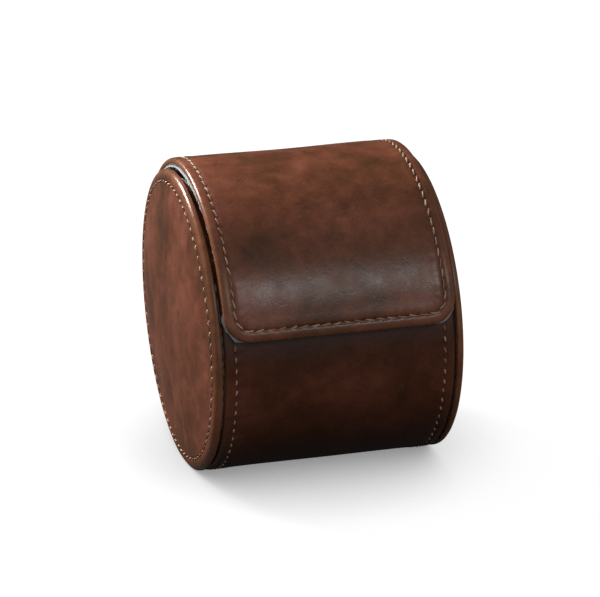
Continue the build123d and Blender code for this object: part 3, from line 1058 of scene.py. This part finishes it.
def disc_cover(side, name, net):
    """The padded leather cover of one end."""
    turn = np.interp(disc_rows, disc_lengths, disc_table)[:, None]
    phase = (disc_rows / DISC_PITCH)[:, None]
    patches = Patchwork()
    inset = np.concatenate([rim_inset, face_inset])
    reach = oval_reach(turn, -inset)
    face = disc_face(reach, turn)
    swell = pucker(inset - DISC_ROW + ROW_INSET, phase)
    swell = swell * np.clip((inset - 0.3) / 1.5, 0, 1)
    y, z = reach * np.cos(turn), reach * np.sin(turn)
    settled = np.clip((inset - DISC_ROW) / SETTLED_WITHIN, 0, 1)
    swell = swell * (1 - settled) + settled * over_dome(net, y, z)
    lumps = waves(y, z + WAVES_FROM) * np.clip((inset - 2) / 7, 0, 1)
    on_rim = np.arange(len(inset)) < len(rim_inset)
    plain = np.where(on_rim, np.concatenate([rim_height, np.zeros(len(face_inset))]), face)
    # A paler rubbed rim that also carries a painted highlight, and painted shade in the stitch groove.
    rubbed = np.where(on_rim, hill(inset, WORN_HIGHLIGHT_AT, WORN_HIGHLIGHT_WIDTH), 0)
    waxed = GROOVE_SHADE * hill(inset, DISC_ROW, GROOVE_SHADE_WIDTH) * holes(phase)
    patches.add(disc_points(reach, turn, plain + swell + lumps, side), rubbed, waxed, side < 0)
    inner = oval_reach(turn, -face_inset[-1]) * np.concatenate([[1.0], face_share])
    y, z = inner * np.cos(turn), inner * np.sin(turn)
    height = disc_face(inner, turn) + waves(y, z + WAVES_FROM) + over_dome(net, y, z)
    patches.add(disc_points(inner, turn, height, side), 0, 0, side < 0)
    piece = patches.make(name)
    piece.data.materials.append(leather)
    return piece


disc_covers = {name: disc_cover(side, f"{name}_disc_cover", disc_nets[name])
               for name, side in SIDES.items()}

# %% [markdown]
# The ring of stitches on a disc is sewn like the strip's rows, at the same pitch. Seen from outside,
# both rings slant the same way, because the same hand sews them.
#
# The strip's own rows could be bent round, but a ring has no ends and no corners. So only the tubes
# are shared, and the places come from a table of lengths round the oval.

# %% The stitches of the discs
disc_height = 0.04 - 0.95 * stitch_share ** 2


def disc_stitches(side, name):
    """The ring of stitches of one disc."""
    middles = (np.arange(DISC_COUNT) + 0.5) * DISC_PITCH
    middles = middles[:, None] + uneven(DISC_COUNT, 0.06)
    turn = np.interp(middles + STITCH_HALF * stitch_share, disc_lengths, disc_table)
    slant = side * STITCH_SLANT * stitch_share * (1 + uneven(DISC_COUNT, 0.3))
    reach = oval_reach(turn, -DISC_ROW - slant - uneven(DISC_COUNT, 0.04))
    height = disc_face(reach, turn) + disc_height + uneven(DISC_COUNT, 0.03)
    centres = disc_points(reach, turn, height, side)
    return tubes(name, centres, centres - disc_points(reach, turn, height - 1, side))


disc_threads = {name: disc_stitches(side, f"{name}_disc_stitches") for name, side in SIDES.items()}

# %% [markdown]
# Inside, each end wall is lined with the same suede as the strip, glued to a board. The board's own
# edge is wrapped in leather, so from above, and in the gap under the flap, no card shows.
#
# The board stays as the solid model has it. Only its lining is made again, because cloth with a
# sharp machined edge never looks like cloth.

# %% The end walls
WALL_FACE = 32.47
WALL_GROW = -2.86
wall_turns = np.linspace(0, 2 * np.pi, 181)[:, None]
wall_inset = np.array([0.0, 0.0, 0.05, 0.2, 0.5, 1.2, 2.5, 5.0])
wall_depth = np.array([0.55, 0.3, 0.1, 0.02, 0.0, 0.0, 0.0, 0.0])


def wall_lining(side, name):
    """The suede on the inner face of one end wall."""
    y, z = oval_point(wall_turns, WALL_GROW - wall_inset)
    z = rest_on(z, -WALL_GROW)
    x = np.broadcast_to(side * (WALL_FACE + wall_depth), y.shape)
    patches = Patchwork()
    patches.add(np.stack([x, y, z], axis=-1), 0, 0, side > 0)
    shares = np.linspace(1, 0, 14)
    y = y[:, -1:] * shares
    z = CENTRE_Z + (z[:, -1:] - CENTRE_Z) * shares
    x = np.full(y.shape, side * WALL_FACE)
    patches.add(np.stack([x, y, z], axis=-1), 0, 0, side > 0)
    piece = patches.make(name)
    piece.data.materials.append(suede)
    return piece


wall_linings = {name: wall_lining(side, f"{name}_wall_suede") for name, side in SIDES.items()}
for name in wall_linings:
    frame["nodes"][f"{name}_wall_board"].data.materials[0] = leather
print("end walls lined:", ", ".join(wall_linings))

# %% [markdown]
# The watch is buckled round a cushion: a crowned roll of foam in a suede cover, with a flat cap sewn
# on at each end. It is fattest in the middle and rounded over at both ends.
#
# The profile could be drawn as a curve and turned. An arc for the crown and a quarter circle for each
# corner give the same from a few sizes, and tell where the seams lie.

# %% The form of the cushion
CUSHION_HALF = 32.17
CUSHION_CORNER = 5
CUSHION_TURNS = 76
CROWN, SHOULDER, SHOULDER_AT, RIM_AT = 27.0, 24.5, 27.17, 19.5
CAP_SEAM = 28.17
SEAM_DIP = 0.8
CROWN_ARC = (SHOULDER_AT ** 2 + (CROWN - SHOULDER) ** 2) / (2 * (CROWN - SHOULDER))


def cushion_radius(x):
    """The plain cushion's radius at a distance from its middle."""
    x = np.abs(x)
    crown = CROWN - CROWN_ARC + np.sqrt(CROWN_ARC ** 2 - np.minimum(x, SHOULDER_AT) ** 2)
    past = np.maximum(x - SHOULDER_AT, 0)
    corner = RIM_AT + np.sqrt(np.maximum(CUSHION_CORNER ** 2 - past ** 2, 0))
    return np.where(x > SHOULDER_AT, corner, crown)


def turned(x, radius, turns):
    """Points of a turned form round the cushion's axis."""
    around = np.linspace(0, 2 * np.pi, turns + 1)[:, None]
    return np.stack([np.broadcast_to(x, (turns + 1, len(x))), radius * np.cos(around),
                     CENTRE_Z + radius * np.sin(around)], axis=-1)


print("cushion:", 2 * CUSHION_HALF, "mm long and", 2 * CROWN, "mm across")

# %% [markdown]
# The cover is a tube of suede, held in by a seam at each end. The foam puffs it out between them.
#
# A smooth tube would look hard. This one starts half a millimetre too small, is cut a little too wide,
# and is run as cloth, so that it fills out by itself and stays soft at the seams.

# %% The cushion's cover
COVER_RINGS = 29
COVER_SMALLER = 0.5
COVER_NOISE = 0.06


def cushion_cover():
    """The cover, from seam to seam."""
    x = np.linspace(-CAP_SEAM, CAP_SEAM, COVER_RINGS)
    radius = cushion_radius(x) - COVER_SMALLER
    radius[[0, -1]] -= SEAM_DIP - COVER_SMALLER
    start = turned(x, radius, CUSHION_TURNS)[:-1]
    uneven_cut = np.random.default_rng(17).normal(0, COVER_NOISE, (CUSHION_TURNS, COVER_RINGS - 2, 3))
    start[:, 1:-1] += uneven_cut
    index = np.arange(start[..., 0].size).reshape(CUSHION_TURNS, COVER_RINGS)
    beside = np.roll(index, -1, axis=0)
    faces = np.stack([index[:, :-1], beside[:, :-1], beside[:, 1:], index[:, 1:]], axis=-1)
    faces = faces.reshape(-1, 4).tolist()
    held = np.concatenate([index[:, 0], index[:, -1]])
    points = settle(start.reshape(-1, 3), faces, held, pressure=2.5, slack=0.005, cap=1.2)
    mesh = bpy.data.meshes.new("cushion_roll")
    mesh.from_pydata((points * MM).tolist(), [], faces)
    mesh.materials.append(cushion_suede)
    piece = bpy.data.objects.new("cushion_roll", mesh)
    bpy.context.collection.objects.link(piece)
    piece.modifiers.new("smooth", "SUBSURF").levels = 1
    finer = bpy.data.meshes.new_from_object(piece.evaluated_get(bpy.context.evaluated_depsgraph_get()))
    piece.modifiers.clear()
    piece.data = finer
    finer.shade_smooth()
    print(f"cushion_roll: {len(finer.vertices)} points")
    return piece


cushion = cushion_cover()

# %% [markdown]
# A cap is cut from the same suede and sewn over each end. Its edge is folded in at the seam, and its
# flat face is pulled in a little at the middle.
#
# It is stiff enough to keep its cut, so it needs no cloth. A short profile, turned, makes it.

# %% The cushion's caps
CAP_FOLD = 0.35
CAP_HOLLOW = 0.25
CAP_RINGS = 8


def cushion_cap(side, name):
    """The cap that is sewn over one end."""
    corner = np.linspace(math.asin((CAP_SEAM - SHOULDER_AT) / CUSHION_CORNER), math.pi / 2, 9)
    x = np.concatenate([[CAP_SEAM], SHOULDER_AT + CUSHION_CORNER * np.sin(corner),
                        CUSHION_HALF - CAP_HOLLOW * np.linspace(0, 1, CAP_RINGS) ** 0.5])
    x[1] += CAP_FOLD
    radius = np.concatenate([[cushion_radius(CAP_SEAM) - SEAM_DIP],
                             RIM_AT + CUSHION_CORNER * np.cos(corner),
                             np.linspace(RIM_AT, 0, CAP_RINGS + 1)[1:]])
    patches = Patchwork()
    patches.add(turned(side * x, radius, 2 * CUSHION_TURNS), 0, 0, side < 0)
    piece = patches.make(name)
    piece.data.materials.append(cushion_suede)
    return piece


cushion_caps = {name: cushion_cap(side, f"cushion_{name}_end") for name, side in SIDES.items()}

# %% [markdown]
# Each piece now goes with the body that carries it, and takes the place of its plain solid.
#
# The hinge stretch could be cut in two at the fold, but a gap would open there. So it is kept whole
# and left in place, carried by neither body.

for pieces_of in (strip_leathers, strip_linings, strip_threads):
    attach(pieces_of["case"], "case")
    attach(pieces_of["flap"], "flap")
    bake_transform(pieces_of["hinge"])
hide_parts("case_leather")
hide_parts("flap_leather")
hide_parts("hinge_leather")
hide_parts("case_lining")
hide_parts("flap_lining")
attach(flap_board, "flap")
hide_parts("flap_board")

for name in SIDES:
    for piece in (disc_covers[name], disc_threads[name], wall_linings[name]):
        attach(piece, "case")
    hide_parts(f"{name}_disc_leather", f"{name}_disc_foam")
    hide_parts(f"{name}_wall_lining")

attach(cushion, "cushion")
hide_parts("cushion_cover", "cushion_core")
for name, piece in cushion_caps.items():
    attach(piece, "cushion")
    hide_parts(f"cushion_{name}_cap")

# %% [markdown]
# Leather and thread may stand a little proud of the solids under them, and no more. So the size of the
# dressed roll is written beside the size of the solid one, to be compared.

# %% Sizes
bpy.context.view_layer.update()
for name, (low, high) in (("solid", cad_box), ("dressed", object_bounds())):
    print(name, "roll in mm:", [round((b - a) / MM, 1) for a, b in zip(low, high)])
